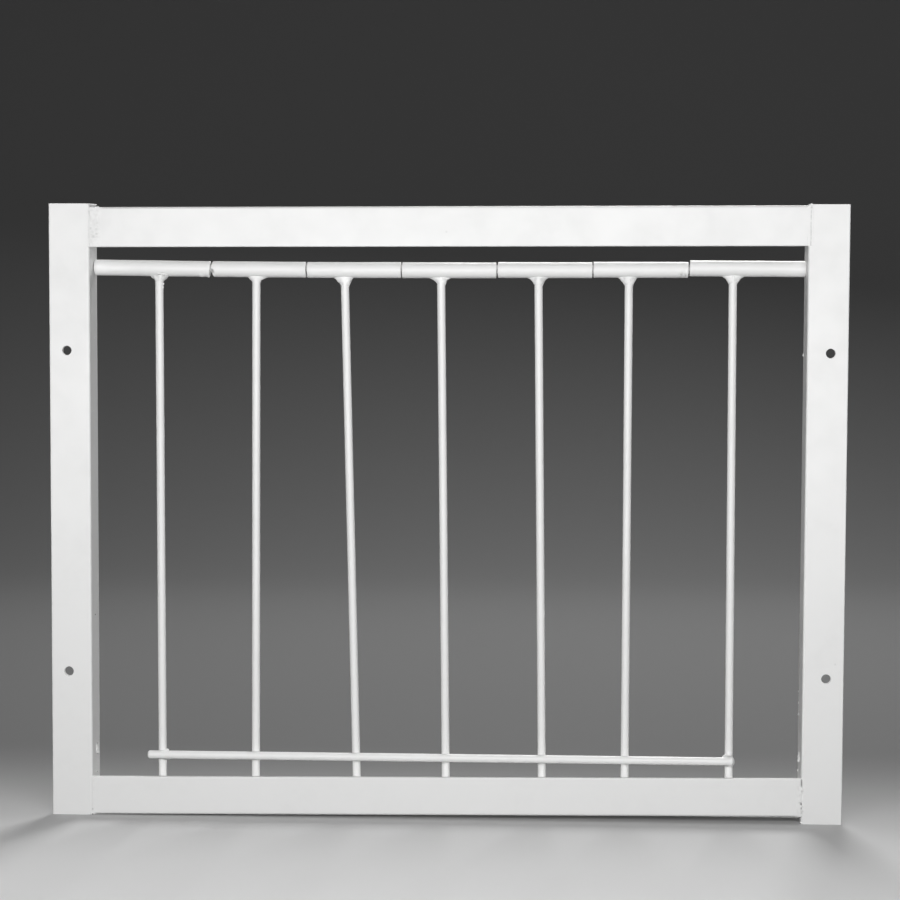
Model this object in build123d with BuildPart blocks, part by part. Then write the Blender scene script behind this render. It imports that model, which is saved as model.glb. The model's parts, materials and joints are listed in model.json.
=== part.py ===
from build123d import *
import math
import os

# One-way loft gate: an angle-iron frame with bars that hang from a hinge rod and swing only backwards.
# X runs to the right, Y back into the wall and Z up, in millimetres. The origin is the centre of the four
# screw holes, on the wall face that the front flanges lie against.

# Frame, welded from four lengths of light angle, whose front flanges were trimmed by hand
FRAME_WIDTH = 300.0
STILE_LENGTH = 232.4
STILE_FLANGE = 15.4
TOP_RAIL_FLANGE = 15.0
BOTTOM_RAIL_FLANGE = 14.6
LEG_DEPTH = 15.0  # back legs, from the front face
ANGLE_WALL = 2.0
HEEL_RADIUS = 0.9  # outside corner of the section
ROOT_RADIUS = 1.5  # inside corner
TOE_RADIUS = 0.4  # free edges of both legs

# Rails butt between the stiles, slightly out of level as they were tacked
TOP_RAIL_DROP_LEFT = 1.3  # from the stiles' top ends
TOP_RAIL_DROP_RIGHT = 0.4
BOTTOM_RAIL_LIFT_LEFT = 0.2  # from the stiles' bottom ends
BOTTOM_RAIL_LIFT_RIGHT = 2.7

# Screw holes in the front flanges
SCREW_HOLE_DIAMETER = 3.6
SCREW_EDGE = 6.6  # from the stile's outer edge
SCREW_END = 55.2  # from the stile's ends

# Hinge rod through the stiles' back legs, and the same pair of holes left empty near the foot
ROD_DIAMETER = 3.0
ROD_HOLE_CLEARANCE = 0.1  # all round
ROD_DEPTH = 8.0  # behind the wall face
ROD_END = 24.0  # from the stiles' ends, at the top for the rod and at the bottom for the empty holes
ROD_PROUD = 1.2  # past the outside of the back legs
ROD_CHAMFER = 0.2

# Tube sleeves, end to end along the rod
SLEEVE_CLEARANCE = 0.5  # all round the rod
SLEEVE_WALL = 1.0
SLEEVE_LENGTH = 35.85  # the inner ones; the first and the last fill up to the stiles
SLEEVE_ROW_SHIFT = 0.75  # of the inner ones to the right, so that the first is longer than the last
SLEEVE_GAP = 0.25  # between neighbours
# How far each sleeve rides above or below the rod's centre, as a share of its clearance
SLEEVE_RIDES = (0.1, -0.6, -0.85, -0.9, -0.6, -0.2, 0.85)

# Bars, welded under the sleeves by hand: place along the sleeve from its middle, and drift of the foot
BAR_DIAMETER = 3.1
BAR_FOOT_END = 8.0  # foot above the stiles' bottom ends
BAR_FOOT_CHAMFER = 0.4
BAR_WELD_PLACES = (2.2, -1.2, -3.7, -3.2, -2.5, -4.5, -5.3)
BAR_FOOT_DRIFTS = (0.6, -0.5, 5.0, 2.6, 2.6, 0.0, 0.6)

# Weld bead between sleeve and bar: a flared collar that spreads along the sleeve and climbs its sides
BEAD_HEIGHT = 2.9  # down the bar
BEAD_SPREAD = 2.0  # along the sleeve, from the bar's side
BEAD_TOE = 0.15  # thickness at its lower rim
BEAD_WRAP = 52.0  # degrees round the sleeve, each side of the bar

# Push bar across the front of the bars, welded to the first and the last
PUSH_BAR_DIAMETER = 3.1
PUSH_BAR_END = 22.4  # its centre above the stiles' bottom ends
PUSH_BAR_GAP = 0.25  # in front of the bars
PUSH_BAR_LEFT = 5.1  # past the first bar's centre
PUSH_BAR_RIGHT = 1.6  # past the last bar's centre
PUSH_BAR_CHAMFER = 0.5
PUSH_WELD_SPREAD = 1.1  # past the bars' radius
PUSH_WELD_SHIFT = 1.6  # towards the middle of the gate from the bars' centres

# Weld beads of the frame
CORNER_BEAD = 2.2  # each side of the fillet
CORNER_BEAD_INSET = 1.0  # from the rail's free edge
ROD_BEAD_SPREAD = 1.1  # round the rod's end
ROD_BEAD_HEIGHT = 0.9  # along the rod
BEAD_HOLLOW = 0.4  # middle of a hollow face, as a share of both sides; 0.5 is flat

# Places worked out from the sizes above
front_y = -ANGLE_WALL
outer_x = FRAME_WIDTH / 2
inner_x = outer_x - STILE_FLANGE
leg_x = inner_x + ANGLE_WALL
half_stile = STILE_LENGTH / 2
rod_z = half_stile - ROD_END
rod_radius = ROD_DIAMETER / 2
bar_count = len(SLEEVE_RIDES)
bar_radius = BAR_DIAMETER / 2
sleeve_bore = rod_radius + SLEEVE_CLEARANCE
sleeve_radius = sleeve_bore + SLEEVE_WALL
foot_z = BAR_FOOT_END - half_stile
bead_flank = sleeve_radius * math.sin(math.radians(BEAD_WRAP))
push_y = ROD_DEPTH - bar_radius - PUSH_BAR_GAP - PUSH_BAR_DIAMETER / 2
push_z = PUSH_BAR_END - half_stile

os.makedirs("parts", exist_ok=True)


def angle_outline(heel, flange, leg, flange_width):
    """Closed outline of the angle: its heel corner, the directions of its front flange and back leg."""
    places = (
        (0, 0, HEEL_RADIUS),
        (flange_width, 0, TOE_RADIUS),
        (flange_width, ANGLE_WALL, TOE_RADIUS),
        (ANGLE_WALL, ANGLE_WALL, ROOT_RADIUS),
        (ANGLE_WALL, LEG_DEPTH, TOE_RADIUS),
        (0, LEG_DEPTH, TOE_RADIUS),
    )
    corners = [Vector(heel) + Vector(flange) * along + Vector(leg) * deep for along, deep, _ in places]
    FilletPolyline(*corners, radius=[radius for _, _, radius in places], close=True)


def write(builder, name):
    """Label a finished piece and write it as its own file."""
    builder.part.label = name
    export_step(builder.part, f"parts/{name}.step")


# Stiles: flange outwards for the screws, back leg at the inner edge
for side, name in ((-1, "left_stile"), (1, "right_stile")):
    screw_x = side * (outer_x - SCREW_EDGE)
    screw_z = half_stile - SCREW_END
    screw_places = [
        Plane(origin=(screw_x, front_y, z), x_dir=(1, 0, 0), z_dir=(0, -1, 0))
        for z in (screw_z, -screw_z)
    ]
    rod_places = [
        Plane(origin=(side * inner_x, ROD_DEPTH, z), x_dir=(0, 1, 0), z_dir=(-side, 0, 0))
        for z in (rod_z, -rod_z)
    ]
    with BuildPart() as stile:
        with BuildSketch(Plane.XY.offset(-half_stile)):
            with BuildLine():
                angle_outline((side * inner_x, front_y), (side, 0), (0, 1), STILE_FLANGE)
            make_face()
        extrude(amount=STILE_LENGTH)
        with Locations(*screw_places):
            Hole(SCREW_HOLE_DIAMETER / 2, depth=ANGLE_WALL)
        with Locations(*rod_places):
            Hole(rod_radius + ROD_HOLE_CLEARANCE, depth=ANGLE_WALL)
    write(stile, name)

# Rails: flange towards the opening, back leg along the outer edge, ends cut upright against the stiles.
# Behind each end a fillet bead joins the flange to the stile's back leg.
top_heels = (half_stile - TOP_RAIL_DROP_LEFT, half_stile - TOP_RAIL_DROP_RIGHT)
bottom_heels = (BOTTOM_RAIL_LIFT_LEFT - half_stile, BOTTOM_RAIL_LIFT_RIGHT - half_stile)
rail_layouts = (("top", top_heels, -1, TOP_RAIL_FLANGE), ("bottom", bottom_heels, 1, BOTTOM_RAIL_FLANGE))
for edge, heels, inwards, flange_width in rail_layouts:
    left_z, right_z = heels
    run = Vector(2 * inner_x, 0, right_z - left_z)
    with BuildPart() as rail:
        with BuildSketch(Plane.YZ.offset(-inner_x)):
            with BuildLine():
                angle_outline((front_y, left_z), (0, inwards), (1, 0), flange_width)
            make_face()
        extrude(amount=run.length, dir=run)
    write(rail, f"{edge}_rail")

    bead_length = flange_width - ANGLE_WALL - ROOT_RADIUS - CORNER_BEAD_INSET
    for side, side_name, heel_z in ((-1, "left", left_z), (1, "right", right_z)):
        bead_z = heel_z + inwards * (ANGLE_WALL + ROOT_RADIUS)
        corner = Vector(side * inner_x, 0)
        on_leg = Vector(0, CORNER_BEAD)
        on_rail = Vector(-side * CORNER_BEAD, 0)
        middle = corner + (on_leg + on_rail) * BEAD_HOLLOW
        with BuildPart() as corner_weld:
            with BuildSketch(Plane.XY.offset(bead_z)):
                with BuildLine():
                    Polyline(corner + on_leg, corner, corner + on_rail)
                    ThreePointArc(corner + on_rail, middle, corner + on_leg)
                make_face()
            extrude(amount=inwards * bead_length)
        write(corner_weld, f"corner_weld_{edge}_{side_name}")

# Hinge rod and the ring beads at its ends
hinge_plane = Plane(origin=(0, ROD_DEPTH, rod_z), x_dir=(0, 1, 0), z_dir=(1, 0, 0))
rod_half = leg_x + ROD_PROUD
with BuildPart() as hinge_rod:
    with BuildSketch(hinge_plane.offset(-rod_half)):
        Circle(rod_radius)
    extrude(amount=2 * rod_half)
    chamfer(hinge_rod.edges().filter_by(GeomType.CIRCLE), ROD_CHAMFER)
write(hinge_rod, "hinge_rod")

for side, side_name in ((-1, "left"), (1, "right")):
    root = Vector(side * leg_x, ROD_DEPTH + rod_radius)
    on_leg = Vector(0, ROD_BEAD_SPREAD)
    on_rod = Vector(side * ROD_BEAD_HEIGHT, 0)
    with BuildPart() as hinge_rod_weld:
        with BuildSketch(Plane.XY.offset(rod_z)):
            with BuildLine():
                Polyline(root, root + on_rod, root + on_leg, close=True)
            make_face()
        revolve(axis=Axis((0, ROD_DEPTH, rod_z), (1, 0, 0)))
    write(hinge_rod_weld, f"hinge_rod_weld_{side_name}")

# Sleeves, bars and the trumpet beads that join them, from left to right
inner_run = (bar_count - 2) * (SLEEVE_LENGTH + SLEEVE_GAP)
end_length = (2 * inner_x - inner_run - 3 * SLEEVE_GAP) / 2
sleeve_lengths = [SLEEVE_LENGTH] * bar_count
sleeve_lengths[0] = end_length + SLEEVE_ROW_SHIFT
sleeve_lengths[-1] = end_length - SLEEVE_ROW_SHIFT
sleeve_left = -inner_x + SLEEVE_GAP
bars = []
push_crossings = []
for index in range(bar_count):
    number = index + 1
    length = sleeve_lengths[index]
    axis_z = rod_z + SLEEVE_RIDES[index] * SLEEVE_CLEARANCE
    sleeve_plane = Plane(origin=(sleeve_left, ROD_DEPTH, axis_z), x_dir=(0, 1, 0), z_dir=(1, 0, 0))
    with BuildPart() as sleeve:
        with BuildSketch(sleeve_plane):
            Circle(sleeve_radius)
            Circle(sleeve_bore, mode=Mode.SUBTRACT)
        extrude(amount=length)
    write(sleeve, f"sleeve_{number}")

    weld_x = sleeve_left + length / 2 + BAR_WELD_PLACES[index]
    head = Vector(weld_x, ROD_DEPTH, axis_z)
    foot = Vector(weld_x + BAR_FOOT_DRIFTS[index], ROD_DEPTH, foot_z)
    bar_plane = Plane(origin=foot, x_dir=(0, 1, 0), z_dir=head - foot)
    bar_length = (head - foot).length
    with BuildPart() as bar:
        with BuildSketch(bar_plane):
            Circle(bar_radius)
        extrude(amount=bar_length)
        chamfer(bar.faces().sort_by(Axis.Z)[0].edges(), BAR_FOOT_CHAMFER)
        with BuildSketch(sleeve_plane):
            Circle(sleeve_radius)
        extrude(amount=length, mode=Mode.SUBTRACT)
    bars.append(bar.part)
    write(bar, f"bar_{number}")

    lean = (head - foot).normalized()
    bead_plane = Plane(origin=head, x_dir=(lean.Z, 0, -lean.X), z_dir=(0, -1, 0))
    with BuildPart() as bar_weld:
        with BuildSketch(bead_plane):
            with BuildLine():
                Polyline(
                    (0, -sleeve_radius - BEAD_HEIGHT),
                    (bar_radius + BEAD_TOE, -sleeve_radius - BEAD_HEIGHT),
                    (bar_radius + BEAD_SPREAD, -sleeve_radius - BEAD_TOE),
                    (bar_radius + BEAD_SPREAD, 0),
                    (0, 0),
                    close=True,
                )
            make_face()
        revolve(axis=Axis(head, lean))
        with BuildSketch(Plane(origin=head, x_dir=(0, 1, 0), z_dir=(1, 0, 0))):
            Rectangle(2 * bead_flank, 2 * (sleeve_radius + BEAD_HEIGHT + BEAD_TOE))
        extrude(amount=BEAD_SPREAD + BAR_DIAMETER, both=True, mode=Mode.INTERSECT)
        with BuildSketch(sleeve_plane):
            Circle(sleeve_radius)
        extrude(amount=length, mode=Mode.SUBTRACT)
        add(bar.part, mode=Mode.SUBTRACT)
    write(bar_weld, f"bar_weld_{number}")

    push_share = (push_z - foot_z) / (axis_z - foot_z)
    push_crossings.append(foot.X + (head.X - foot.X) * push_share)
    sleeve_left += length + SLEEVE_GAP

# Push bar and its two welds
push_left = push_crossings[0] - PUSH_BAR_LEFT
push_right = push_crossings[-1] + PUSH_BAR_RIGHT
push_plane = Plane(origin=(push_left, push_y, push_z), x_dir=(0, 1, 0), z_dir=(1, 0, 0))
with BuildPart() as push_bar:
    with BuildSketch(push_plane):
        Circle(PUSH_BAR_DIAMETER / 2)
    extrude(amount=push_right - push_left)
    chamfer(push_bar.edges().filter_by(GeomType.CIRCLE), PUSH_BAR_CHAMFER)
write(push_bar, "push_bar")

for index, inwards in ((0, 1), (bar_count - 1, -1)):
    weld_x = push_crossings[index] + inwards * PUSH_WELD_SHIFT
    weld_plane = Plane(origin=(weld_x, push_y, push_z), x_dir=(1, 0, 0), z_dir=(0, 1, 0))
    with BuildPart() as push_bar_weld:
        with BuildSketch(weld_plane):
            Circle(bar_radius + PUSH_WELD_SPREAD)
        extrude(amount=ROD_DEPTH - push_y)
        add(push_bar.part, mode=Mode.SUBTRACT)
        add(bars[index], mode=Mode.SUBTRACT)
    write(push_bar_weld, f"push_bar_weld_{index + 1}")
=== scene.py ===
"""Looks of a one-way loft gate: white paint, hand-laid welds, loose tube sleeves and a pale studio.

Sizes are millimetres in the gate's own frame: X to the right, Y back into the wall and Z up. MM turns them
into the scene's metres where a mesh, lamp or camera is made.
"""
import json
import logging
import math
from dataclasses import dataclass
from enum import Enum, IntEnum

import bpy
import numpy as np
from mathutils import Matrix, Vector


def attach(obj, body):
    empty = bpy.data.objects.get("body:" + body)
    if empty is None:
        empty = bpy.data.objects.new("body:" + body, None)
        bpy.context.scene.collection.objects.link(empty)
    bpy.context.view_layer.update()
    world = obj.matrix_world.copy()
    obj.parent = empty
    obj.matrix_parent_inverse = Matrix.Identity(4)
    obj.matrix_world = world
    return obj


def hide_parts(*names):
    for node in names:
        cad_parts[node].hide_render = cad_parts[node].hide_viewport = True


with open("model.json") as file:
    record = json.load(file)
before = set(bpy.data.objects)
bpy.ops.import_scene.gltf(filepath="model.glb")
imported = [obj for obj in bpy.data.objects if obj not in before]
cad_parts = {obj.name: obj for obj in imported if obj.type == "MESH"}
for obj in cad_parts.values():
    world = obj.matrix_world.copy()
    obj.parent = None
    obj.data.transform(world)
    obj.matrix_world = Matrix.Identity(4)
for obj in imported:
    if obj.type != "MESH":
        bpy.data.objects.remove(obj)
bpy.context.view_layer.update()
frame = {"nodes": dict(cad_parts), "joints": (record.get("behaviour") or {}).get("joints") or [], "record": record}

MM = 0.001
TURN = 2 * math.pi
LOG = logging.getLogger("loft_gate")


class Slot(Enum):
    """Material slots of the gate."""

    FRAME = "frame_paint"
    BARS = "bar_paint"
    WELDS = "weld_beads"


class Side(Enum):
    """Left and right, as the sign of X."""

    LEFT = -1
    RIGHT = 1


class Edge(Enum):
    """Top and bottom rail, as the sign of Z."""

    TOP = 1
    BOTTOM = -1


class Seed(IntEnum):
    """First seed of each kind of relief."""

    CORNER_BEAD = 7
    SLEEVE = 40
    WELD = 60
    WELD_RIM = 90
    PUSH_WELD = 120
    DROP = 140
    SHEATH = 150
    ROD_BEAD = 200
    SEAM_FINE = 300
    SEAM_BROAD = 330
    SEAM_WANDER = 360
    HOLE_BURR = 410
    SPATTER = 500
    TONGUE = 610
    CORNER_BURR = 620


# Steps between the seeds of neighbouring pieces
SEED_STEP = 10
CORNER_STEP = 4


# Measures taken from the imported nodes


def node_points(node: str) -> np.ndarray:
    """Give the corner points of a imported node.

    Args:
        node: Name of the node.

    Returns:
        Array of points by three, in millimetres.
    """
    vertices = frame["nodes"][node].data.vertices
    flat = np.empty(3 * len(vertices), np.float32)
    vertices.foreach_get("co", flat)
    return flat.reshape(-1, 3).astype(float) / MM


def node_box(node: str) -> tuple[np.ndarray, np.ndarray]:
    """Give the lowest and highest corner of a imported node.

    Args:
        node: Name of the node.

    Returns:
        Both corners, in millimetres.
    """
    points = node_points(node)
    return points.min(0), points.max(0)


def hinge_point() -> np.ndarray:
    """Give a point on the hinge line, in millimetres."""
    return np.array(frame["joints"][0]["pos_m"]) / MM


def body_of_bar(number: int) -> str:
    """Give the body that a bar, its sleeve and its weld ride on.

    Args:
        number: Place of the bar from the left, from 1.

    Returns:
        Name of the body.
    """
    bodies = frame["record"]["behaviour"]["bodies"]
    return next(name for name, nodes in bodies.items() if f"bar_{number}" in nodes)


# Surfaces


def turns(count: int) -> np.ndarray:
    """Give evenly spaced turns round a full ring, in radians."""
    return np.linspace(0, TURN, count, endpoint=False)


def circle(turn: np.ndarray, radius: float) -> np.ndarray:
    """Give points on a flat ring, one for each turn in a column."""
    return np.concatenate([radius * np.cos(turn), radius * np.sin(turn), 0 * turn], 1)


def held(value: np.ndarray) -> np.ndarray:
    """Hold values between 0 and 1."""
    return np.clip(value, 0, 1)


def bell(distance: np.ndarray, power: int = 2) -> np.ndarray:
    """Give a bell curve, 1 in the middle: e to minus a power of the distance, flatter for a high power."""
    return np.exp(-(distance**power))


@dataclass(frozen=True)
class Lumps:
    """Smooth random relief: a sum of plane waves with seeded directions, lengths and phases.

    Attributes:
        size: Usual width of a lump, in millimetres.
        seed: Picks the waves.
        waves: How many are summed.
        shortest: Shortest wave, as a multiple of the size.
        longest: Longest wave, as a multiple of the size.
    """

    size: float
    seed: int
    waves: int = 30
    shortest: float = 1.4
    longest: float = 3.2

    def at(self, points: np.ndarray) -> np.ndarray:
        """Give the relief at points: the cosines of the waves, summed and scaled to about -1 to 1.

        Args:
            points: Array whose last axis is X, Y, Z.

        Returns:
            Array of heights without that axis.
        """
        rng = np.random.default_rng(self.seed)
        heading = rng.normal(size=(self.waves, 3))
        heading /= np.linalg.norm(heading, axis=1, keepdims=True)
        length = self.size * rng.uniform(self.shortest, self.longest, self.waves)
        phase = rng.uniform(0, TURN, self.waves)
        waves = np.cos(points @ (heading * TURN / length[:, None]).T + phase)
        return waves.sum(-1) / math.sqrt(self.waves)


@dataclass(frozen=True)
class Shell:
    """A closed surface.

    Attributes:
        points: Array of points by three, in millimetres.
        quads: Array of faces by four point numbers.
        fans: Array of faces by three point numbers, at closed ends.
        hollow: How far each point lies in a dip of the surface, from 0 to 1; the finish paints it as shade.
    """

    points: np.ndarray
    quads: np.ndarray
    fans: np.ndarray
    hollow: np.ndarray

    def volume(self) -> float:
        """Work out the enclosed volume.

        Returns:
            A sixth of the sum of the triangles' triple products, below 0 where the faces point inwards.
        """
        halves = [self.quads[:, [0, 1, 2]], self.quads[:, [0, 2, 3]], self.fans]
        a, b, c = np.moveaxis(self.points[np.concatenate(halves)], 1, 0)
        return float(np.einsum("ij,ij->i", a, np.cross(b, c)).sum() / 6)

    def outward(self) -> "Shell":
        """Turn the faces outwards.

        Returns:
            The shell itself, or one with the corners of each face in the other order.
        """
        if self.volume() > 0:
            return self
        return Shell(self.points, self.quads[:, ::-1], self.fans[:, ::-1], self.hollow)


def ring_shell(rings: np.ndarray, loop: bool = False, hollow: np.ndarray | None = None) -> Shell:
    """Join closed rings of points into one closed surface.

    Each point is joined to the next in its ring and to the same point of the next ring. With loop the last
    ring is joined to the first, and without it each end is closed by a fan to the ring's middle.

    Args:
        rings: Array of rings by points by three.
        loop: Whether the rings themselves run in a ring.
        hollow: Array of rings by points with the dips of the surface, which the finish paints as shade, or None
            for a smooth one.

    Returns:
        The shell, facing outwards.
    """
    count, around, _ = rings.shape
    number = np.arange(count * around).reshape(count, around)
    here = number if loop else number[:-1]
    there = np.roll(number, -1, 0) if loop else number[1:]
    quads = np.stack([here, np.roll(here, -1, 1), np.roll(there, -1, 1), there], -1).reshape(-1, 4)
    points = rings.reshape(-1, 3)
    dips = np.zeros(count * around) if hollow is None else hollow.reshape(-1)
    fans = np.empty((0, 3), int)
    if not loop:
        ends = rings[[0, -1]].mean(1)
        first, last = number[0], number[-1]
        foot = np.stack([np.roll(first, -1), first, np.full(around, count * around)], -1)
        head = np.stack([last, np.roll(last, -1), np.full(around, count * around + 1)], -1)
        fans = np.concatenate([foot, head])
        points = np.concatenate([points, ends])
        dips = np.concatenate([dips, np.zeros(2)])
    return Shell(points, quads, fans, dips).outward()


def slab_shell(face: np.ndarray, back: np.ndarray, hollow: np.ndarray) -> Shell:
    """Close a grid surface with a second grid behind it: a row of the face and one of the back make a ring.

    Args:
        face: Array of rows by columns by three, the side that shows.
        back: Array of the same shape, the side within the metal.
        hollow: Array of rows by columns with the dips of the face, which the finish paints as shade.

    Returns:
        The shell, facing outwards.
    """
    rings = np.concatenate([face, back[:, ::-1]], axis=1)
    return ring_shell(rings, hollow=np.concatenate([hollow, 0 * hollow], axis=1))


# Rings and sides of a lumpy ball, and how near its end rings come to the poles, in half turns
BALL_RINGS = 15
BALL_SIDES = 28
BALL_POLE = 0.46


def blob_shell(centre: np.ndarray, radii: np.ndarray, lumps: Lumps, relief: float) -> Shell:
    """Make a lumpy ball: a unit ball's point times the radii, times one plus the relief there.

    Args:
        centre: Middle of the blob.
        radii: Its half sizes along X, Y and Z.
        lumps: Relief of its surface.
        relief: Height of that relief, as a share of the radius.

    Returns:
        The shell, facing outwards.
    """
    latitude = np.linspace(-BALL_POLE, BALL_POLE, BALL_RINGS)[:, None] * math.pi
    longitude = turns(BALL_SIDES)[None, :]
    level, rise = np.cos(latitude), np.sin(latitude)
    unit = np.stack([level * np.cos(longitude), level * np.sin(longitude), rise + 0 * longitude], -1)
    height = lumps.at(centre + unit * radii)
    points = centre + unit * radii * (1 + relief * height)[..., None]
    # The dips between the lumps are darkened in the finish: painted shade.
    return ring_shell(points, hollow=held(-height))


def add_piece(name: str, shells: list[Shell], body: str, slot: Slot, replaces: tuple[str, ...] = ()) -> None:
    """Put shells into one smooth mesh that rides on a body and wears its slot's finish.

    Args:
        name: Name of the piece.
        shells: Closed surfaces of the piece.
        body: Body that it rides on.
        slot: Material slot that it takes its finish from.
        replaces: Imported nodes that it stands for.
    """
    starts = np.cumsum([0] + [len(shell.points) for shell in shells[:-1]])
    points = np.concatenate([shell.points for shell in shells]) * MM
    faces = []
    for start, shell in zip(starts, shells):
        faces += (shell.quads + start).tolist() + (shell.fans + start).tolist()
    mesh = bpy.data.meshes.new(name)
    mesh.from_pydata(points.tolist(), [], faces)
    mesh.polygons.foreach_set("use_smooth", np.ones(len(faces), bool))
    # Each point's dip goes to the finish, which paints it as shade.
    hollow = mesh.attributes.new("hollow", "FLOAT", "POINT")
    hollow.data.foreach_set("value", np.concatenate([shell.hollow for shell in shells]).astype(np.float32))
    mesh.materials.append(bpy.data.materials[slot.value + "_finish"])
    piece = bpy.data.objects.new(name, mesh)
    bpy.context.scene.collection.objects.link(piece)
    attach(piece, body)
    if replaces:
        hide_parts(*replaces)
    LOG.info("%s: %d faces on %s", name, len(faces), body)


# Finishes


class NodeBench:
    """Adds nodes to a shader tree and joins them.

    Attributes:
        mix_inputs: Places of a colour Mix node's factor and two colours among its inputs.
        mix_output: Place of its colour among its outputs.
    """

    mix_inputs: tuple[int, int, int] = (0, 6, 7)
    mix_output: int = 2

    def __init__(self, tree: bpy.types.NodeTree) -> None:
        """Start on a tree.

        Args:
            tree: Node tree of a material or a group.
        """
        self.tree = tree

    def add(self, kind: str, settings: dict | None = None, **inputs: object) -> bpy.types.Node:
        """Add a node.

        Args:
            kind: Type of the node, without its common prefix.
            settings: Properties of the node.
            inputs: Values or output sockets by input name, with underscores for spaces.

        Returns:
            The node.
        """
        node = self.tree.nodes.new("ShaderNode" + kind)
        for key, value in (settings or {}).items():
            setattr(node, key, value)
        for key, value in inputs.items():
            self.feed(node.inputs[key.replace("_", " ")], value)
        return node

    def feed(self, socket: bpy.types.NodeSocket, value: object) -> None:
        """Give an input socket a value, or a link where the value is an output socket.

        Args:
            socket: The input.
            value: The value or the output socket.
        """
        if isinstance(value, bpy.types.NodeSocket):
            self.tree.links.new(value, socket)
        else:
            socket.default_value = value

    def math(self, operation: str, first: object, second: object = 0.0) -> bpy.types.NodeSocket:
        """Add a Math node.

        Args:
            operation: Its operation.
            first: First value or socket.
            second: Second value or socket.

        Returns:
            Its output socket.
        """
        node = self.add("Math", {"operation": operation})
        self.feed(node.inputs[0], first)
        self.feed(node.inputs[1], second)
        return node.outputs[0]

    def spread(
        self, value: object, low: float, high: float, to_low: float, to_high: float
    ) -> bpy.types.NodeSocket:
        """Add a Map Range node that holds its ends.

        Args:
            value: Value or socket to spread.
            low: Lower end of the value.
            high: Upper end of the value.
            to_low: Result at the lower end.
            to_high: Result at the upper end.

        Returns:
            Its output socket.
        """
        node = self.add("MapRange", {"interpolation_type": "SMOOTHSTEP"})
        for socket, given in zip(node.inputs, (value, low, high, to_low, to_high)):
            self.feed(socket, given)
        return node.outputs[0]

    def mix(self, factor: object, first: object, second: object) -> bpy.types.NodeSocket:
        """Add a colour Mix node.

        Args:
            factor: Share of the second colour, as a value or a socket.
            first: First colour or socket.
            second: Second colour or socket.

        Returns:
            Its output socket.
        """
        node = self.add("Mix", {"data_type": "RGBA"})
        for place, given in zip(self.mix_inputs, (factor, first, second)):
            self.feed(node.inputs[place], given)
        return node.outputs[self.mix_output]

    def noise(
        self, place: object, scale: object, detail: float, roughness: float
    ) -> bpy.types.NodeSocket:
        """Add a noise texture.

        Args:
            place: Socket of the coordinates.
            scale: Waves per metre, as a value or a socket.
            detail: Finer layers that are summed.
            roughness: Share of each finer layer.

        Returns:
            Socket of its value.
        """
        node = self.add("TexNoise", Vector=place, Scale=scale, Detail=detail, Roughness=roughness)
        return node.outputs[0]


def new_group(
    name: str, inputs: dict[str, str], outputs: dict[str, str]
) -> tuple[bpy.types.NodeTree, NodeBench]:
    """Start a shader node group.

    Args:
        name: Name of the group.
        inputs: Socket kinds by input name.
        outputs: Socket kinds by output name.

    Returns:
        The group and a bench to build it on.
    """
    group = bpy.data.node_groups.new(name, "ShaderNodeTree")
    for way, sockets in (("INPUT", inputs), ("OUTPUT", outputs)):
        for socket, kind in sockets.items():
            group.interface.new_socket(socket, in_out=way, socket_type="NodeSocket" + kind)
    return group, NodeBench(group)


# Noise textures of the paint: waves per metre, detail and roughness. The peel's scale is each finish's own
CLOUD_NOISE = (28.0, 3.0, 0.55)
MOTTLE_NOISE = (170.0, 3.0, 0.6)
PEEL_NOISE = (1.5, 0.45)
GRAIN_NOISE = (420.0, 4.0, 0.6)

# Ranges of the paint: low and high end of the value, and the result at each
CLOUD_THINNESS = (0.35, 0.7, 0.0, 1.0)
MOTTLE_THINNESS = (0.3, 0.75, 0.2, 1.0)
CLOUD_GLOSS = (0.3, 0.7, -0.03, 0.03)
MOTTLE_GLOSS = (0.25, 0.75, -0.05, 0.05)
NIB_SPOT = (0.02, 0.09, 1.0, 0.0)

# Shares of peel and mottle in the film's relief
PEEL_RELIEF = 0.7
MOTTLE_RELIEF = 0.9


def paint_film_group() -> bpy.types.NodeTree:
    """Make the sprayed paint film: broad clouds of tone and gloss, and orange peel about a millimetre wide.

    Returns:
        The group, with inputs for the full and the thin colour, the middle roughness and the peel's scale,
        and with outputs for colour, roughness and relief.
    """
    group, bench = new_group(
        "paint_film",
        {"Full Colour": "Color", "Thin Colour": "Color", "Roughness": "Float", "Peel Scale": "Float"},
        {"Colour": "Color", "Roughness": "Float", "Relief": "Float"},
    )
    given = bench.tree.nodes.new("NodeGroupInput")
    place = bench.add("TexCoord").outputs["Object"]
    cloud, mottle = bench.noise(place, *CLOUD_NOISE), bench.noise(place, *MOTTLE_NOISE)
    peel = bench.noise(place, given.outputs["Peel Scale"], *PEEL_NOISE)
    cloudy, mottled = bench.spread(cloud, *CLOUD_THINNESS), bench.spread(mottle, *MOTTLE_THINNESS)
    thinness = bench.math("MULTIPLY", cloudy, mottled)
    colour = bench.mix(thinness, given.outputs["Full Colour"], given.outputs["Thin Colour"])
    gloss = bench.math("ADD", bench.spread(mottle, *MOTTLE_GLOSS), bench.spread(cloud, *CLOUD_GLOSS))
    peeled, pebbled = bench.math("MULTIPLY", peel, PEEL_RELIEF), bench.math("MULTIPLY", mottle, MOTTLE_RELIEF)
    relief = bench.math("ADD", peeled, pebbled)
    put = bench.tree.nodes.new("NodeGroupOutput")
    bench.feed(put.inputs["Colour"], colour)
    bench.feed(put.inputs["Roughness"], bench.math("ADD", given.outputs["Roughness"], gloss))
    bench.feed(put.inputs["Relief"], relief)
    return group


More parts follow.
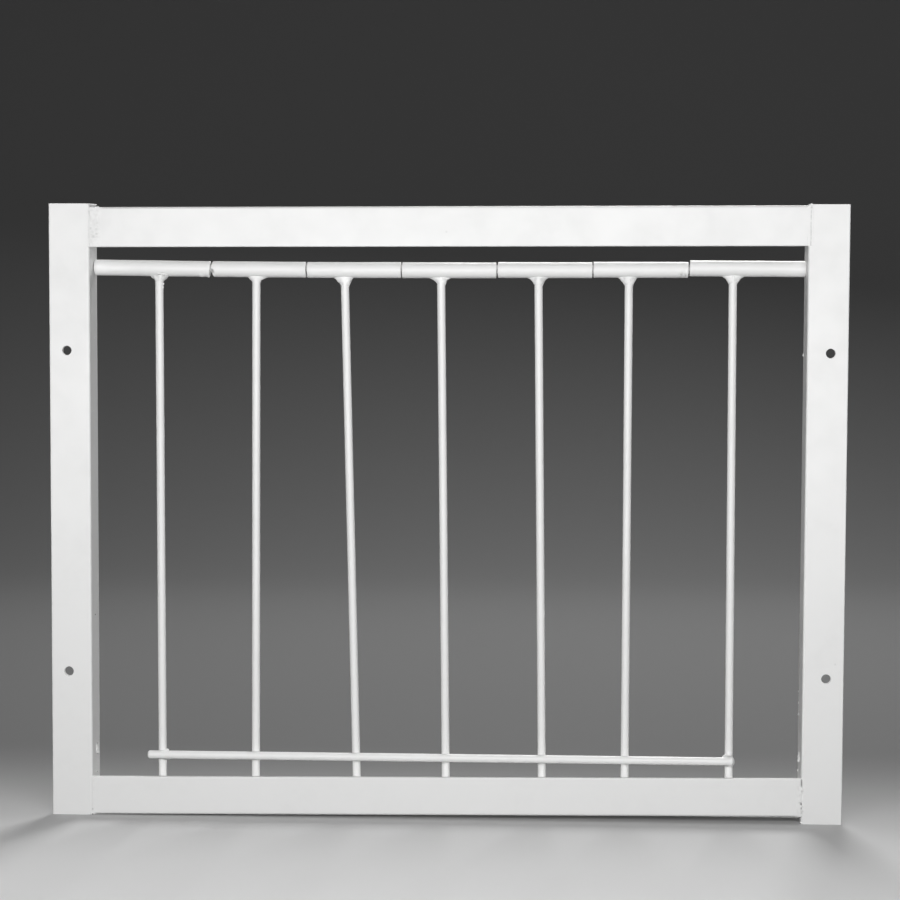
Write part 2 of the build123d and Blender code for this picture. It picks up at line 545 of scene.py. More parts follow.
def paint_nib_group() -> bpy.types.NodeTree:
    """Make nibs, the specks of dust caught in wet paint: a small round spot in a few of the cells of a grid.

    Returns:
        The group, with inputs for the cells' scale and the share of cells with a nib, and an output for the
        spots.
    """
    group, bench = new_group("paint_nibs", {"Scale": "Float", "Share": "Float"}, {"Nib": "Float"})
    given = bench.tree.nodes.new("NodeGroupInput")
    place = bench.add("TexCoord").outputs["Object"]
    cells = bench.add("TexVoronoi", Vector=place, Scale=given.outputs["Scale"])
    spot = bench.spread(cells.outputs["Distance"], *NIB_SPOT)
    pick = bench.add("SeparateColor", Color=cells.outputs["Color"]).outputs[0]
    chosen = bench.math("LESS_THAN", pick, given.outputs["Share"])
    put = bench.tree.nodes.new("NodeGroupOutput")
    bench.feed(put.inputs["Nib"], bench.math("MULTIPLY", spot, chosen))
    return group


@dataclass(frozen=True)
class PaintFinish:
    """White semi-gloss paint on one kind of metal.

    Attributes:
        slot: Material slot that wears it.
        full: Colour where the film is full.
        thin: Colour where it is thin.
        roughness: Middle roughness.
        peel_scale: Waves of orange peel per metre.
        relief_depth: Height of the film's relief, in millimetres.
        nib_share: Share of cells with a nib of dust.
        grain: Height of coarse grain from the metal under the paint, in millimetres.
        hollow_tone: Share of the dark colour in the dips of a lumpy piece, where it is painted shade, and in its
            dust nibs.
        shade_and_dust_colour: That dark colour: painted shade in the dips, and the dust of the nibs.
        nib_scale: Cells of the nibs per metre.
        nib_tone: How much of the dips' tone a nib takes.
        nib_height: Height of a nib, as a multiple of the film's relief.
    """

    slot: Slot
    full: tuple[float, float, float, float]
    thin: tuple[float, float, float, float]
    roughness: float
    peel_scale: float
    relief_depth: float
    nib_share: float
    grain: float
    hollow_tone: float
    # Dark grey of the painted shade in dips and of the dust nibs
    shade_and_dust_colour: tuple[float, float, float, float] = (0.1, 0.1, 0.098, 1)
    nib_scale: float = 150.0
    nib_tone: float = 0.12
    nib_height: float = 1.6

    def material(self, film: bpy.types.NodeTree, nibs: bpy.types.NodeTree) -> bpy.types.Material:
        """Make the material.

        Args:
            film: The group of the paint film.
            nibs: The group of dust nibs.

        Returns:
            The material, named for its slot.
        """
        material = bpy.data.materials.new(self.slot.value + "_finish")
        material.use_nodes = True
        bench = NodeBench(material.node_tree)
        shader = material.node_tree.nodes["Principled BSDF"]
        coat = bench.add(
            "Group",
            {"node_tree": film},
            Full_Colour=self.full,
            Thin_Colour=self.thin,
            Roughness=self.roughness,
            Peel_Scale=self.peel_scale,
        )
        dust = bench.add("Group", {"node_tree": nibs}, Scale=self.nib_scale, Share=self.nib_share)
        nib = dust.outputs["Nib"]
        grain = bench.noise(bench.add("TexCoord").outputs["Object"], *GRAIN_NOISE)
        # The hollow attribute is painted shade in dips, grooves and pits, and the nibs are dust. Both pull the
        # colour towards the dark grey.
        hollow = bench.add("Attribute", {"attribute_name": "hollow"}).outputs["Fac"]
        shade = bench.math("MAXIMUM", hollow, bench.math("MULTIPLY", nib, self.nib_tone))
        shade_and_dust_amount = bench.math("MULTIPLY", shade, self.hollow_tone)
        colour = bench.mix(shade_and_dust_amount, coat.outputs["Colour"], self.shade_and_dust_colour)
        height = bench.math("ADD", coat.outputs["Relief"], bench.math("MULTIPLY", nib, self.nib_height))
        height = bench.math("ADD", height, bench.math("MULTIPLY", grain, self.grain / self.relief_depth))
        bump = bench.add("Bump", Strength=1.0, Distance=self.relief_depth * MM, Height=height)
        bench.feed(shader.inputs["Base Color"], colour)
        bench.feed(shader.inputs["Roughness"], coat.outputs["Roughness"])
        bench.feed(shader.inputs["Normal"], bump.outputs["Normal"])
        return material


PAINTS = (
    PaintFinish(
        Slot.FRAME,
        full=(0.85, 0.85, 0.845, 1),
        thin=(0.82, 0.82, 0.815, 1),
        roughness=0.36,
        peel_scale=850.0,
        relief_depth=0.018,
        nib_share=0.05,
        grain=0.004,
        hollow_tone=1.0,
    ),
    PaintFinish(
        Slot.BARS,
        full=(0.88, 0.88, 0.875, 1),
        thin=(0.85, 0.85, 0.845, 1),
        roughness=0.42,
        peel_scale=1100.0,
        relief_depth=0.014,
        nib_share=0.05,
        grain=0.004,
        hollow_tone=0.5,
    ),
    PaintFinish(
        Slot.WELDS,
        full=(0.87, 0.87, 0.865, 1),
        thin=(0.83, 0.83, 0.825, 1),
        roughness=0.36,
        peel_scale=900.0,
        relief_depth=0.02,
        nib_share=0.08,
        grain=0.04,
        hollow_tone=0.2,
    ),
)


# Pieces


@dataclass(frozen=True)
class Flare:
    """One side of a bar's weld.

    Attributes:
        spread: How far it runs along the sleeve.
        height: How far it runs down the bar.
    """

    spread: float
    height: float


@dataclass(frozen=True)
class EndCut:
    """Uneven saw cut at a sleeve's end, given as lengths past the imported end.

    Attributes:
        top: Length at the top.
        middle: Length at mid height.
        bottom: Length at the bottom.
    """

    top: float = -0.07
    middle: float = -0.07
    bottom: float = -0.07

    def at(self, level: np.ndarray) -> np.ndarray:
        """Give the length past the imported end, on the parabola through the three given lengths.

        Args:
            level: Height on the end, from -1 at the bottom to 1 at the top.

        Returns:
            Array of lengths.
        """
        slope = (self.top - self.bottom) / 2
        bow = (self.top + self.bottom) / 2 - self.middle
        return self.middle + slope * level + bow * level**2


@dataclass(frozen=True)
class Scar:
    """A lump, chip or dented patch on a sleeve.

    Attributes:
        place: Its middle along the sleeve, from the left end.
        turn: Its middle round the sleeve, in degrees: 180 is the front and 270 the bottom.
        length: Its length along the sleeve.
        width: Its width round the sleeve, in degrees.
        height: Its height, below 0 for a dent.
        grain: Width of the lumps within it.
        lumpiness: Height of those lumps, as a share of its own.
    """

    place: float
    turn: float
    length: float
    width: float
    height: float
    grain: float
    lumpiness: float = 0.8

    def at(self, along: np.ndarray, turn: np.ndarray, points: np.ndarray) -> np.ndarray:
        """Give the height over the sleeve: a bell curve each way, times a mean of one with lumps about it.

        Args:
            along: Lengths along the sleeve.
            turn: Turns round it.
            points: Points that the lumps are taken at.

        Returns:
            Array of heights.
        """
        reach = (along - self.place) / (self.length / 2)
        swing = (turn - math.radians(self.turn)) / math.radians(self.width / 2)
        lumps = 1 + self.lumpiness * Lumps(self.grain, round(SEED_STEP * self.turn)).at(points)
        return self.height * lumps * np.exp(-(reach**4) - swing**2)


@dataclass(frozen=True)
class Blob:
    """A lump of weld metal.

    Attributes:
        right: Its middle, to the right of a point that is given when it is made.
        behind: Its middle, behind that point.
        above: Its middle, above that point.
        radii: Its half sizes along X, Y and Z.
        lump_size: Width of the lumps on it.
        relief: Height of those lumps, as a share of the radius.
    """

    right: float
    behind: float
    above: float
    radii: tuple[float, float, float]
    lump_size: float = 1.4
    relief: float = 0.08

    def shell(self, origin: np.ndarray, seed: int) -> Shell:
        """Make the lump.

        Args:
            origin: Point that it is placed from.
            seed: Seed of its relief.

        Returns:
            The shell, facing outwards.
        """
        middle = origin + np.array([self.right, self.behind, self.above])
        return blob_shell(middle, np.array(self.radii), Lumps(self.lump_size, seed), self.relief)


@dataclass(frozen=True)
class HungBar:
    """One bar's tube sleeve, and the flared weld between the two.

    Attributes:
        number: Place from the left, from 1.
        left: Flare of the weld to the left.
        right: Flare of the weld to the right.
        rough: Height of the weld's lumps.
        climb: How far the weld runs up the sleeve's front and back, in degrees from its bottom.
        tilt: Lift of the sleeve's left and right end, as it hangs loosely on the rod.
        left_cut: Cut of the sleeve's left end.
        right_cut: Cut of its right end.
        scars: Marks on the sleeve.
        hollow: How far the weld's slope sinks towards the corner under it, from 0 for a straight slope to 1.
        drops: Lumps beside the weld, placed from where the bar's axis meets the sleeve's.
        end_round: Rounding of the sleeve's rims.
        bore: Radius of the sleeve's bore.
        cut_reach: Length over which an end's cut fades out.
        wave_size: Width of the sleeve's long waves.
        wave_height: Height of those waves.
        thinnest: Wall that is left under the deepest scar.
        dent_shade: How dark the painted shade in a dent is, for each millimetre of its depth.
        lip: How far the weld's rim stands over the sleeve.
        sink: How deep the weld closes within the sleeve.
        rim_lumps: Width of the lumps along the weld's rims.
        rim_ring: Radius of the ring on which those are taken.
        ragged_spread: Share of those lumps in the weld's run along the sleeve.
        ragged_height: Their share in its run down the bar.
        ragged_climb: Their share in its run up the sleeve.
        lump_size: Width of the lumps on the weld.
        heart: Distance from the bar's axis of the ring from which those are pushed outwards.
        tuck: How far the weld's tail lies under the bar's skin.
        tail: Length of that tail.
        rim_tuck: How far the closed rim lies under the sleeve's skin.
        rim_reach: How far it reaches past the open rim.
        under_spread: Share of the weld's run along the sleeve at which it closes.
        core: Radius at which it closes within the bar, as a share of the bar's.
        foot_slice: Height of the slice that gives the bar's foot.
        head_slice: Height of the slice that gives the bar's head.
        sleeve_sides: Points round the sleeve.
        sleeve_steps: Points along it.
        rim_steps: Points over a rim.
        weld_sides: Points round the weld.
        weld_steps: Points from rim to rim of the weld.
    """

    number: int
    left: Flare
    right: Flare
    rough: float
    climb: float = 30.0
    tilt: tuple[float, float] = (0.0, 0.0)
    left_cut: EndCut = EndCut()
    right_cut: EndCut = EndCut()
    scars: tuple[Scar, ...] = ()
    hollow: float = 0.3
    drops: tuple[Blob, ...] = ()
    end_round: float = 0.25
    bore: float = 2.0
    cut_reach: float = 2.5
    wave_size: float = 8.0
    wave_height: float = 0.015
    thinnest: float = 0.2
    dent_shade: float = 3.0
    lip: float = 0.06
    sink: float = 0.35
    rim_lumps: float = 0.8
    rim_ring: float = 1.5
    ragged_spread: float = 0.5
    ragged_height: float = 0.4
    ragged_climb: float = 0.5
    lump_size: float = 1.1
    heart: float = 0.3
    tuck: float = 0.12
    tail: float = 0.5
    rim_tuck: float = 0.15
    rim_reach: float = 0.03
    under_spread: float = 0.8
    core: float = 0.6
    foot_slice: float = 0.1
    head_slice: float = 4.0
    sleeve_sides: int = 84
    sleeve_steps: int = 120
    rim_steps: int = 6
    weld_sides: int = 72
    weld_steps: int = 18

    @property
    def sleeve(self) -> tuple[np.ndarray, np.ndarray, float]:
        """Measure the sleeve.

        Returns:
            Left and right end of its axis, and its radius.
        """
        low, high = node_box(f"sleeve_{self.number}")
        middle = (low + high) / 2
        left, right = middle.copy(), middle.copy()
        left[0], right[0] = low[0], high[0]
        return left, right, (high[2] - low[2]) / 2

    @property
    def bar(self) -> tuple[np.ndarray, np.ndarray, float]:
        """Measure the bar.

        Returns:
            Point of its axis at the sleeve, its direction downwards and its radius.
        """
        points = node_points(f"bar_{self.number}")
        foot = points[points[:, 2] < points[:, 2].min() + self.foot_slice].mean(0)
        span = points[points[:, 2] > points[:, 2].max() - self.head_slice]
        top = (span.min(0) + span.max(0)) / 2
        axis_z = self.sleeve[0][2]
        lean = (top[:2] - foot[:2]) / (top[2] - foot[2])
        head = np.append(foot[:2] + lean * (axis_z - foot[2]), axis_z)
        down = (foot - head) / np.linalg.norm(foot - head)
        return head, down, (points[:, 1].max() - points[:, 1].min()) / 2

    def sleeve_shell(self) -> Shell:
        """Make the sleeve: a wall profile with rounded rims, turned about the axis.

        Point = axis point at a length along, plus the profile's radius times (cos, sin) of the turn. The ends
        move by their cuts, fading out over a short reach, the axis is lifted in a straight line from end to
        end, and scars add to the outer radius.

        Returns:
            The shell.
        """
        left, right, radius = self.sleeve
        length = right[0] - left[0]
        turn = turns(self.sleeve_sides)[None, :]
        bend = np.linspace(0, math.pi / 2, self.rim_steps)
        rim_x = self.end_round * (1 - np.sin(bend))
        rim_r = radius - self.end_round * (1 - np.cos(bend))
        run = np.linspace(self.end_round, length - self.end_round, self.sleeve_steps)
        along = np.concatenate([run, length - rim_x[1:], [length, 0.0], rim_x[::-1][:-1]])[:, None]
        skin = np.full(len(run), radius)
        wall = np.concatenate([skin, rim_r[1:], [self.bore] * 2, rim_r[::-1][:-1]])[:, None]
        near_left = held(1 - along / self.cut_reach) ** 2
        near_right = held(1 - (length - along) / self.cut_reach) ** 2
        level = np.sin(turn)
        x = left[0] + along - near_left * self.left_cut.at(level) + near_right * self.right_cut.at(level)
        lift = self.tilt[0] + (self.tilt[1] - self.tilt[0]) * along / length
        flat = np.stack([along + 0 * turn, wall * np.cos(turn), wall * np.sin(turn)], -1)
        relief = self.wave_height * Lumps(self.wave_size, Seed.SLEEVE + self.number).at(flat)
        # Dents are darkened by their depth: painted shade.
        dips = np.zeros_like(relief)
        for scar in self.scars:
            mark = scar.at(along, turn, flat)
            relief = relief + mark
            dips = np.maximum(dips, held(-self.dent_shade * mark))
        out = wall + np.maximum(relief, self.bore + self.thinnest - wall) * (wall > self.bore)
        points = np.stack([x, left[1] + out * np.cos(turn), left[2] + lift + out * np.sin(turn)], -1)
        return ring_shell(points, loop=True, hollow=dips)

    def weld_shell(self) -> Shell:
        """Make the weld: a flared collar from the bar's skin to the sleeve's skin.

        For each turn about the bar a curve runs from a rim on the bar to a rim on the sleeve, drawn by three
        points, the middle one pulled to the corner between bar and sleeve. Lumps push it out from that
        corner, and the surface closes through the metal.

        Returns:
            The shell.
        """
        left, _, radius = self.sleeve
        head, down, bar_radius = self.bar
        turn = turns(self.weld_sides)
        right_share = 0.5 + 0.5 * np.cos(turn)
        around = np.stack([np.cos(turn), np.sin(turn), 0 * turn], -1)
        rim = Lumps(self.rim_lumps, Seed.WELD_RIM + self.number)
        ragged = self.rough * rim.at(around * self.rim_ring)
        spread = self.left.spread + (self.right.spread - self.left.spread) * right_share
        height = self.left.height + (self.right.height - self.left.height) * right_share
        spread = spread * (1 + self.ragged_spread * ragged)
        height = height * (1 - self.ragged_height * ragged)
        climb = math.radians(self.climb) * np.sin(turn) * (1 + self.ragged_climb * ragged[::-1])
        fall = np.sqrt(radius**2 - (bar_radius * np.sin(turn)) ** 2)

        def on_bar(skin: float, depth: np.ndarray) -> np.ndarray:
            """Give a ring at a distance from the bar's axis and a depth under the sleeve's axis."""
            return head + down * depth[:, None] + around * skin

        def on_sleeve(skin: float, reach: np.ndarray) -> np.ndarray:
            """Give a ring at a distance from the sleeve's axis and a reach along it."""
            x = head[0] + down[0] * fall + reach * np.cos(turn)
            return np.stack([x, left[1] + skin * np.sin(climb), left[2] - skin * np.cos(climb)], -1)

        low = on_bar(bar_radius, fall + height)
        high = on_sleeve(radius + self.lip, bar_radius + spread)
        corner = on_bar(bar_radius, fall)
        pull = self.hollow * corner + (1 - self.hollow) / 2 * (low + high)
        t = np.linspace(0, 1, self.weld_steps)[:, None, None]
        curve = (1 - t) ** 2 * low + 2 * t * (1 - t) * pull + t**2 * high
        outwards = curve - 0.5 * (corner + on_bar(self.heart, fall - self.sink))
        outwards /= np.linalg.norm(outwards, axis=-1, keepdims=True)
        relief = Lumps(self.lump_size, Seed.WELD + self.number).at(curve)
        curve = curve + outwards * (self.rough * relief * (4 * t * (1 - t))[..., 0])[..., None]
        start = on_bar(bar_radius - self.tuck, fall + height + self.tail)[None]
        closing = [
            on_sleeve(radius - self.rim_tuck, bar_radius + spread + self.rim_reach)[None],
            on_sleeve(radius - self.sink, bar_radius + self.under_spread * spread)[None],
            on_bar(self.core * bar_radius, fall - self.sink)[None],
            on_bar(self.core * bar_radius, fall + height)[None],
        ]
        rings = np.concatenate([start, curve] + closing)
        # The dips between the weld's lumps are darkened: painted shade.
        dips = np.zeros(rings.shape[:2])
        dips[1 : len(t) + 1] = held(-relief)
        return ring_shell(rings, loop=True, hollow=dips)

    def build(self) -> None:
        """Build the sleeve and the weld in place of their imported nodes."""
        body = body_of_bar(self.number)
        sleeve, weld = f"sleeve_{self.number}", f"bar_weld_{self.number}"
        add_piece(f"tube_{sleeve}", [self.sleeve_shell()], body, Slot.BARS, (sleeve,))
        drops = [drop.shell(self.bar[0], Seed.DROP + place) for place, drop in enumerate(self.drops)]
        add_piece(f"flared_{weld}", [self.weld_shell(), *drops], body, Slot.WELDS, (weld,))


HUNG_BARS = (
    HungBar(
        1,
        Flare(1.6, 2.3),
        Flare(2.3, 2.5),
        0.26,
        climb=36.0,
        hollow=0.25,
        tilt=(0.28, -0.24),
        right_cut=EndCut(-0.4, -0.45, -0.85),
        scars=(Scar(40.9, 240.0, 2.0, 44.0, 0.2, 0.6), Scar(44.0, 262.0, 1.4, 40.0, 0.2, 0.6)),
        drops=(
            Blob(1.45, 0.0, -5.9, (0.5, 0.6, 0.6)),
            Blob(1.4, -0.4, -7.2, (0.4, 0.5, 0.5)),
            Blob(0.4, -2.0, -2.1, (0.9, 0.6, 0.5)),
            Blob(1.9, -1.9, -2.2, (0.8, 0.6, 0.45)),
            Blob(2.9, -1.5, -2.5, (0.7, 0.5, 0.4)),
        ),
    ),
    HungBar(
        2,
        Flare(1.6, 1.8),
        Flare(2.8, 2.2),
        0.18,
        hollow=0.5,
        tilt=(0.12, -0.09),
        left_cut=EndCut(-0.2, 0.15, -0.6),
        right_cut=EndCut(-0.12, -0.12, -0.05),
        scars=(Scar(0.2, 198.0, 1.1, 24.0, -0.55, 3.0),),
    ),
    HungBar(3, Flare(2.6, 3.0), Flare(1.8, 3.3), 0.12, left_cut=EndCut(-0.05, -0.15, -0.1), hollow=0.2),
    HungBar(4, Flare(2.7, 2.4), Flare(2.1, 2.8), 0.13, right_cut=EndCut(-0.2, -0.07, -0.2), hollow=0.4),
    HungBar(5, Flare(2.5, 2.6), Flare(2.1, 3.1), 0.12, left_cut=EndCut(-0.2, -0.07, -0.2), hollow=0.35),
    HungBar(
        6,
        Flare(2.5, 3.1),
        Flare(1.7, 3.1),
        0.12,
        right_cut=EndCut(-0.05, -0.12, -0.25),
        scars=(Scar(33.6, 228.0, 2.8, 46.0, -0.16, 0.6),),
    ),
    HungBar(
        7,
        Flare(2.5, 3.0),
        Flare(2.7, 3.0),
        0.06,
        hollow=0.4,
        tilt=(0.07, -0.09),
        left_cut=EndCut(-0.25, -0.12, -0.05),
        right_cut=EndCut(0.2, 0.2, 0.2),
        end_round=0.08,
    ),
)


@dataclass(frozen=True)
class PushWeld:
    """Weld that joins the push bar to an outer bar.

    Attributes:
        number: The bar's place from the left, from 1.
        blobs: Lumps of the weld, placed from the push bar's axis where the bar crosses it.
        reach: How far the weld runs up the front of the bar, or 0.
        crest: How thick that part is at the front of its foot.
        tuck: How far its upper end lies under the bar's skin.
        wrap: How much thicker its foot is than its upper end, all round.
        lump_size: Width of the lumps on it.
        relief: Height of those lumps at its foot.
        rings: Rings up that part.
        sides: Points round it.
    """

    number: int
    blobs: tuple[Blob, ...]
    reach: float = 0.0
    crest: float = 1.7
    tuck: float = 0.05
    wrap: float = 0.07
    lump_size: float = 1.2
    relief: float = 0.05
    rings: int = 24
    sides: int = 48

    def sheath(self, crossing: np.ndarray) -> Shell:
        """Make the part that runs up the bar: rings about the bar's axis, thicker in front and lower down.

        Thickness = the crest, times the square of what is left of the reach, times the square of the cosine
        of the turn from the front, on the front half, and a thin wrap all round.

        Args:
            crossing: Point of the push bar's axis in front of the bar.

        Returns:
            The shell, facing outwards.
        """
        head, down, radius = HUNG_BARS[self.number - 1].bar
        up = np.linspace(0, self.reach, self.rings)[:, None]
        turn = turns(self.sides)[None, :]
        front = held(np.cos(turn)) ** 2
        left = 1 - up / self.reach
        skin = radius - self.tuck + self.wrap * left + self.crest * left**2 * front
        axis = head + down * ((crossing[2] + up - head[2]) / down[2])
        x = axis[:, :1] + skin * np.sin(turn)
        y = axis[:, 1:2] - skin * np.cos(turn)
        points = np.stack([x, y, crossing[2] + up + 0 * turn], -1)
        lumps = Lumps(self.lump_size, Seed.SHEATH + self.number).at(points)
        return ring_shell(points + self.relief * (lumps * left)[..., None])

    def build(self) -> None:
        """Build the weld: lumpy balls that run into each other, and the part that runs up the bar."""
        head, down, _ = HUNG_BARS[self.number - 1].bar
        low, high = node_box("push_bar")
        middle = (low + high) / 2
        crossing_x = (head + down * (head[2] - middle[2]) / -down[2])[0]
        crossing = np.array([crossing_x, middle[1], middle[2]])
        seed = Seed.PUSH_WELD + SEED_STEP * self.number
        shells = [blob.shell(crossing, seed + place) for place, blob in enumerate(self.blobs)]
        if self.reach:
            shells.append(self.sheath(crossing))
        weld = f"push_bar_weld_{self.number}"
        add_piece(f"tack_{weld}", shells, body_of_bar(self.number), Slot.WELDS, (weld,))


PUSH_WELDS = (
    PushWeld(
        1,
        (
            Blob(0.9, 1.7, -0.35, (2.3, 1.9, 1.95)),
            Blob(1.9, 1.6, 1.3, (0.85, 1.0, 0.8)),
            Blob(1.5, 1.5, -1.25, (2.2, 1.5, 1.0)),
        ),
    ),
    PushWeld(
        7,
        (
            Blob(-0.3, 1.3, 0.3, (2.2, 2.2, 1.9)),
            Blob(-1.6, 1.5, 1.3, (0.9, 1.1, 0.9)),
            Blob(0.7, 0.3, 0.0, (1.35, 1.7, 1.7)),
        ),
        reach=4.2,
    ),
)


@dataclass(frozen=True)
class CornerBead:
    """Fillet bead behind a rail's end, against the stile's back leg.

    Attributes:
        edge: Rail that it belongs to.
        side: Stile that it belongs to.
        ripple: Height of one ripple.
        ripple_power: Power of the half waves, lower for flatter ripples.
        ripple_mean: Height that counts as the ripples' middle.
        bow: How far the ripples bow down in the middle, as a share of one.
        swell: How far they stand out, as a share of the bead.
        belly: How far the bead swells without them, as a multiple of that.
        end_taper: How far the bead runs out at its ends.
        end_power: Power of that run-out, higher for blunter ends.
        lump_size: Width of the lumps on it.
        relief: Height of those lumps.
        dip_shade: How dark the painted shade in the dips between the ripples is.
        sink: How far it closes within the metal.
        rows: Points up the bead.
        columns: Points round it.
    """

    edge: Edge
    side: Side
    ripple: float = 1.25
    ripple_power: float = 0.6
    ripple_mean: float = 0.6
    bow: float = 0.35
    swell: float = 0.16
    belly: float = 0.8
    end_taper: float = 0.96
    end_power: int = 8
    lump_size: float = 1.2
    relief: float = 0.05
    dip_shade: float = 1.5
    sink: float = 0.4
    rows: int = 90
    columns: int = 16

    @property
    def node(self) -> str:
        """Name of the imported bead."""
        return f"corner_weld_{self.edge.name.lower()}_{self.side.name.lower()}"

    def build(self) -> None:
        """Build the bead: a quarter turn about the corner, carried up the corner.

        Radius = the flat chord's, leg / (cos + sin), times one plus the swell of the ripples, which follow
        each other up the seam as half waves, bowed in the middle. The ends run out as a root of one minus a
        high power of the distance from the middle.
        """
        low, high = node_box(self.node)
        corner_x = (low if self.side is Side.LEFT else high)[0]
        leg = high[1] - low[1]
        climb = np.linspace(0, 1, self.rows)[:, None]
        angle = np.linspace(0, math.pi / 2, self.columns)[None, :]
        run = high[2] - low[2]
        shape = np.sin(2 * angle)
        phase = climb * run / self.ripple - self.bow * shape
        ripples = np.abs(np.sin(math.pi * phase)) ** self.ripple_power - self.ripple_mean
        taper = np.sqrt(1 - self.end_taper * (2 * climb - 1) ** self.end_power)
        chord = leg * taper / (np.cos(angle) + np.sin(angle))
        radius = chord * (1 + shape * self.swell * (self.belly + ripples))
        x = corner_x - self.side.value * radius * np.cos(angle)
        y = low[1] + radius * np.sin(angle)
        z = low[2] + run * climb + 0 * angle
        face = np.stack([x, y, z], -1)
        seed = Seed.CORNER_BEAD + self.side.value + CORNER_STEP * self.edge.value
        face += self.relief * (Lumps(self.lump_size, seed).at(face) * shape)[..., None]
        sunk_x, sunk_y = corner_x + 0 * z + self.side.value * self.sink, low[1] + 0 * z - self.sink
        sunk = np.stack([sunk_x, sunk_y, z], -1)
        rings = np.concatenate([face, sunk[:, :1]], axis=1)
        # The dips between the ripples are darkened: painted shade.
        dips = np.concatenate([held(-self.dip_shade * ripples) * shape, 0 * z[:, :1]], axis=1)
        add_piece(f"rippled_{self.node}", [ring_shell(rings, hollow=dips)], "frame", Slot.WELDS, (self.node,))


@dataclass(frozen=True)
class RodBead:
    """Ring bead that holds the hinge rod's end to the outside of a stile.

    Attributes:
        side: Stile that it belongs to.
        lumpiness: Height of its lumps, as a share of its size.
        lump_size: Width of those lumps.
        lump_ring: Radius of the ring on which they are taken.
        crest_power: Power of the profile's sine, lower for a fuller bead.
        core: Radius at which it closes within the rod, as a share of the rod's.
        core_height: Height at which it closes there, as a share of its own.
        sink: How far it closes within the stile.
        rows: Points round the rod.
        columns: Points over the profile.
    """

    side: Side
    lumpiness: float = 0.16
    lump_size: float = 1.2
    lump_ring: float = 2.0
    crest_power: float = 0.8
    core: float = 0.6
    core_height: float = 0.8
    sink: float = 0.4
    rows: int = 56
    columns: int = 10

    def build(self) -> None:
        """Build the bead: a swollen quarter profile turned about the rod, with lumps round the turn.

        Distance from the rod = the bead's reach times the cosine of the profile's angle, and height over the
        stile = the bead's height times a power of its sine, both times one plus the lumps.
        """
        node = f"hinge_rod_weld_{self.side.name.lower()}"
        low, high = node_box(node)
        rod_low, rod_high = node_box("hinge_rod")
        rod = (rod_high[2] - rod_low[2]) / 2
        centre = (low + high) / 2
        leg_x = (high if self.side is Side.LEFT else low)[0]
        height = high[0] - low[0]
        reach = (high[2] - low[2]) / 2 - rod
        turn = turns(self.rows)[:, None]
        angle = np.linspace(0, math.pi / 2, self.columns)[None, :]
        lumps = Lumps(self.lump_size, Seed.ROD_BEAD + self.side.value)
        size = 1 + self.lumpiness * lumps.at(circle(turn, self.lump_ring))[:, None]
        inside = np.full_like(turn, self.core * rod)
        out = np.concatenate([rod + reach * size * np.cos(angle), inside, inside], 1)
        crest = height * size * np.sin(angle) ** self.crest_power
        closing = [np.full_like(turn, self.core_height * height), np.full_like(turn, -self.sink)]
        up = np.concatenate([crest, *closing], 1)
        x = leg_x + self.side.value * up
        points = np.stack([x, centre[1] + out * np.cos(turn), centre[2] + out * np.sin(turn)], -1)
        add_piece(f"lumpy_{node}", [ring_shell(points, loop=True)], "frame", Slot.WELDS, (node,))


# Which points of a rail count as its front flange's end: how far behind the front face and from the end
FLANGE_DEPTH = 1.9
END_SLACK = 0.01


def rail_end(edge: Edge, side: Side) -> tuple[float, float, float, float]:
    """Give where a rail's front flange ends against a stile.

    Args:
        edge: The rail.
        side: The stile.

    Returns:
        X of the end, Y of the front face, and Z of the flange's upper and lower edge there.
    """
    rail = node_points(f"{edge.name.lower()}_rail")
    inner_x = side.value * np.abs(rail[:, 0]).max()
    front_y = rail[:, 1].min()
    at_end, at_front = np.abs(rail[:, 0] - inner_x) < END_SLACK, rail[:, 1] < front_y + FLANGE_DEPTH
    end = rail[at_end & at_front]
    return inner_x, front_y, end[:, 2].max(), end[:, 2].min()


@dataclass(frozen=True)
class SeamMark:
    """A lump or a pit along a butt seam.

    Attributes:
        place: Distance from the seam's upper end.
        length: Its length along the seam.
        height: Its height over the fill, below 0 for a pit.
        across: Its middle, from the seam towards the rail.
        width: Its width across the seam.
        tone: How dark the painted shade in a pit is.
    """

    place: float
    length: float
    height: float
    across: float = -0.3
    width: float = 0.7
    tone: float = 0.3

    def at(self, down: np.ndarray, across: np.ndarray) -> np.ndarray:
        """Give how much of the mark a point has: a flat-topped bell along the seam, times a bell across it.

        Args:
            down: Distances from the seam's upper end.
            across: Distances from the seam towards the rail.

        Returns:
            Array from 0 to 1.
        """
        along = bell((down - self.place) / (0.5 * self.length), power=4)
        return along * bell((across - self.across) / (0.5 * self.width))


